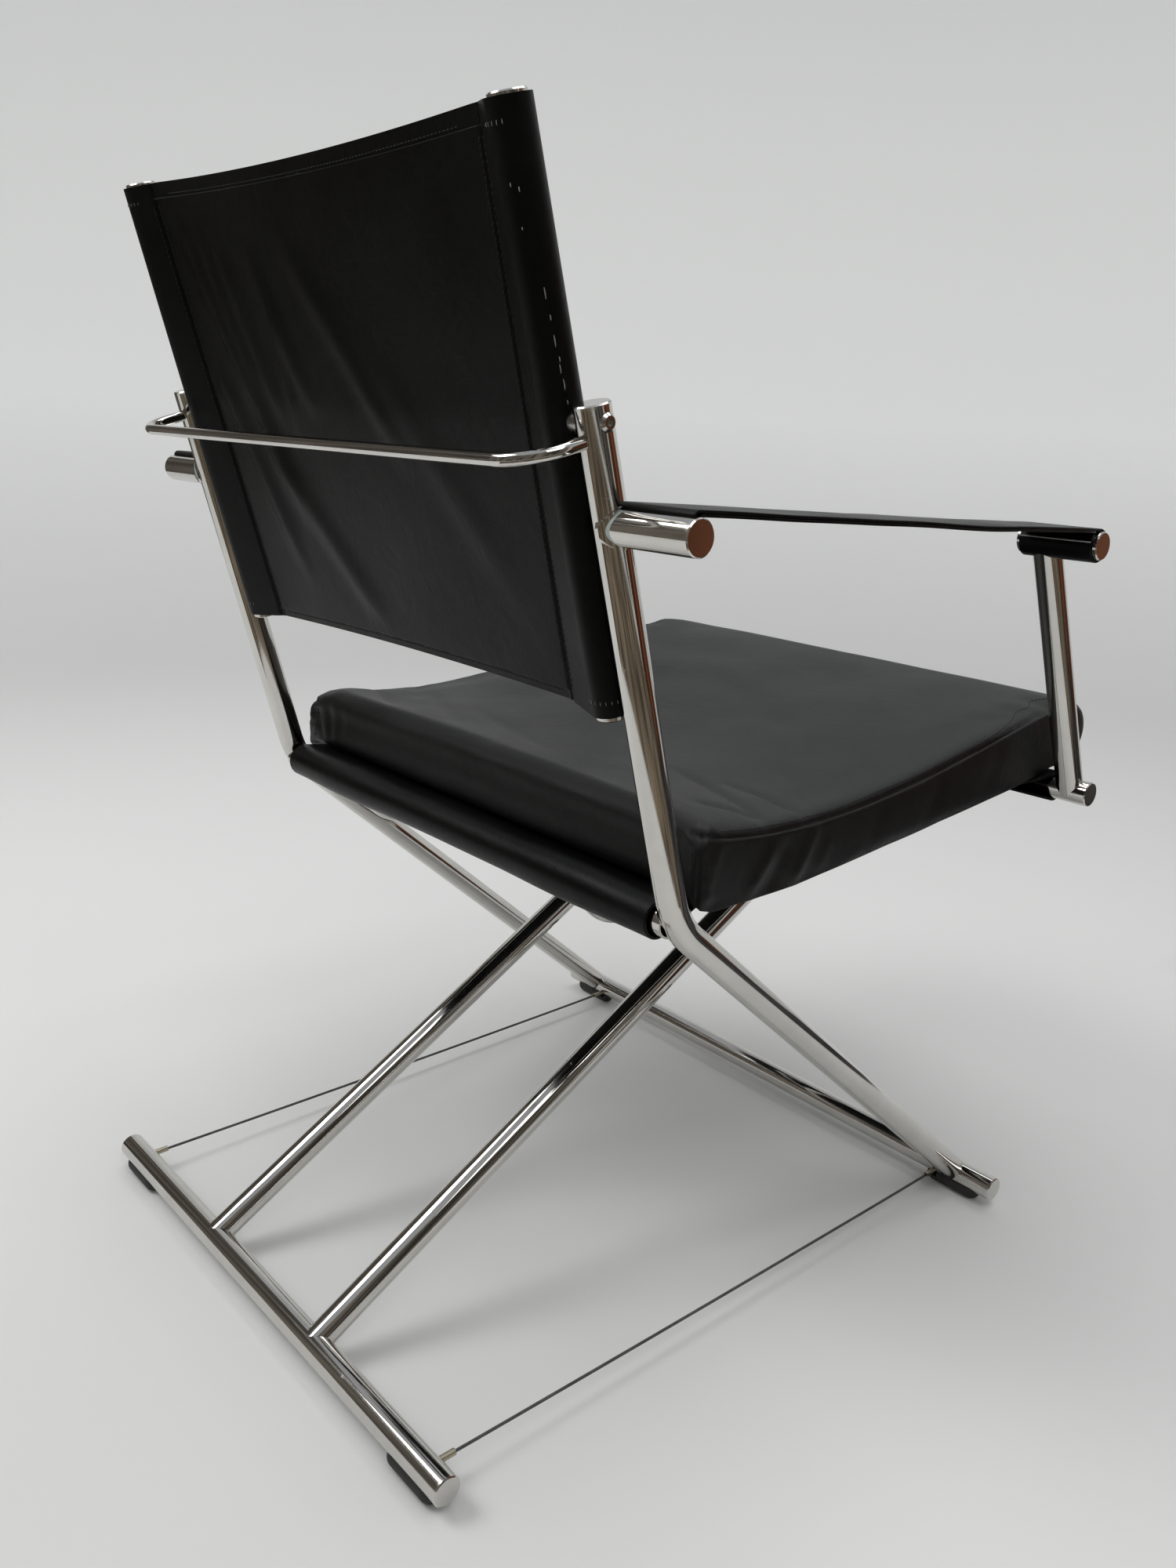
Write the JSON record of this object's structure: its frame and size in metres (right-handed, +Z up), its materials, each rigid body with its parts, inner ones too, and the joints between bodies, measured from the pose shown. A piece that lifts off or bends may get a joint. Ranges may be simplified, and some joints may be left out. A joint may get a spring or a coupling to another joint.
{
  "type": "campaign chair",
  "caption": "Folding campaign armchair: crossed chrome tube legs, black leather sling seat with loose cushion, leather arm straps and a pivoting leather back.",
  "frame": {"origin": "on the floor, at the middle of the chair's width and depth", "axes": "+Z up, -Y towards the front of the chair, +X towards the sitter's left"},
  "size_m": [0.6552, 0.7572, 0.8582],
  "materials": {
    "chrome_tube": "polished",
    "plain_steel": "satin",
    "black_saddle_leather": "satin",
    "cushion_leather": "satin",
    "black_rubber": "matte",
    "grey_plastic": "matte",
    "bearing_plastic": "matte"
  },
  "bodies": {
    "base_frame": {"side_tube_left": "chrome_tube", "side_tube_right": "chrome_tube", "front_foot_bar": "chrome_tube", "front_foot_caps": "chrome_tube", "upright_caps": "chrome_tube", "rear_seat_bar": "chrome_tube", "back_hoop": "chrome_tube", "rear_arm_tube_left": "chrome_tube", "rear_arm_tube_right": "chrome_tube", "arm_bosses": "chrome_tube", "arm_saddles": "grey_plastic", "rear_arm_plugs": "plain_steel", "arm_screws": "plain_steel", "arm_hem_rods": "plain_steel", "rear_arm_caps": "chrome_tube", "pivot_bolts": "chrome_tube", "pivot_nuts": "plain_steel", "pivot_spacers": "plain_steel", "front_pad_left": "black_rubber", "front_pad_right": "black_rubber", "front_wire_ferrules": "plain_steel"},
    "seat_frame": {"rear_foot_bar": "chrome_tube", "rear_foot_caps": "chrome_tube", "inner_leg_left": "chrome_tube", "inner_leg_right": "chrome_tube", "seat_front_bar": "chrome_tube", "seat_bar_caps": "chrome_tube", "arm_post_left": "chrome_tube", "arm_post_right": "chrome_tube", "front_arm_tube_left": "chrome_tube", "front_arm_tube_right": "chrome_tube", "front_arm_caps": "chrome_tube", "seat_rail_left": "chrome_tube", "seat_rail_right": "chrome_tube", "hinge_eye_left": "chrome_tube", "hinge_eye_right": "chrome_tube", "hinge_bearings": "bearing_plastic", "seat_sling": "black_saddle_leather", "seat_cushion": "cushion_leather", "rear_pad_left": "black_rubber", "rear_pad_right": "black_rubber", "rear_wire_ferrules": "plain_steel", "floor_wire_left": "plain_steel", "floor_wire_right": "plain_steel", "arm_strap_left": "black_saddle_leather", "arm_strap_right": "black_saddle_leather"},
    "backrest": {"back_tube_left": "chrome_tube", "back_tube_right": "chrome_tube", "back_tube_caps": "chrome_tube", "back_panel": "black_saddle_leather", "pivot_bushes": "bearing_plastic"}
  },
  "joints": [
    {"name": "seat_fold", "type": "hinge", "parent": "base_frame", "child": "seat_frame", "pos_m": [0, 0.1851, 0.3734], "axis": [-1, 0, 0], "range_deg": [0, 70], "deforming": ["seat_cushion", "arm_strap_left", "arm_strap_right", "floor_wire_left", "floor_wire_right"]},
    {"name": "back_tilt", "type": "hinge", "parent": "base_frame", "child": "backrest", "pos_m": [0, 0.27479, 0.69552], "axis": [1, 0, 0], "range_deg": [-15, 20]}
  ]
}
